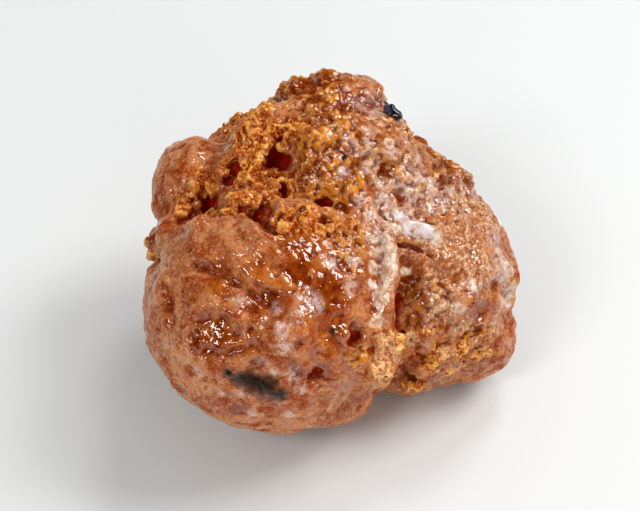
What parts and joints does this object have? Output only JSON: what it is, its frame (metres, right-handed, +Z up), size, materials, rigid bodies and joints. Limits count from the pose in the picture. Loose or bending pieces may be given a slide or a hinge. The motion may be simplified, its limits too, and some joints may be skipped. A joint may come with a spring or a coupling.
{
  "type": "doughnut hole",
  "caption": "Glazed cake doughnut hole: one uneven ball of fried dough, split open with torn crumb, pores, lumps and bits of berry and thick glaze.",
  "frame": {"origin": "middle of the base of the ball's box, on the surface that it rests on", "axes": "+X to the right and +Y to the back as the picture sees it, +Z up"},
  "size_m": [0.0408, 0.0382, 0.0311],
  "materials": {
    "glazed_crust": "fried brown crust and torn crumb under a thin milky sugar glaze",
    "sugar_glaze": "thick set sugar glaze, glossy off-white",
    "berry": "dark blue-black berry skin, wet",
    "crumb": "loose cake crumb, matt golden brown"
  },
  "bodies": {
    "root": {"doughnut_hole": "glazed_crust"}
  },
  "joints": []
}
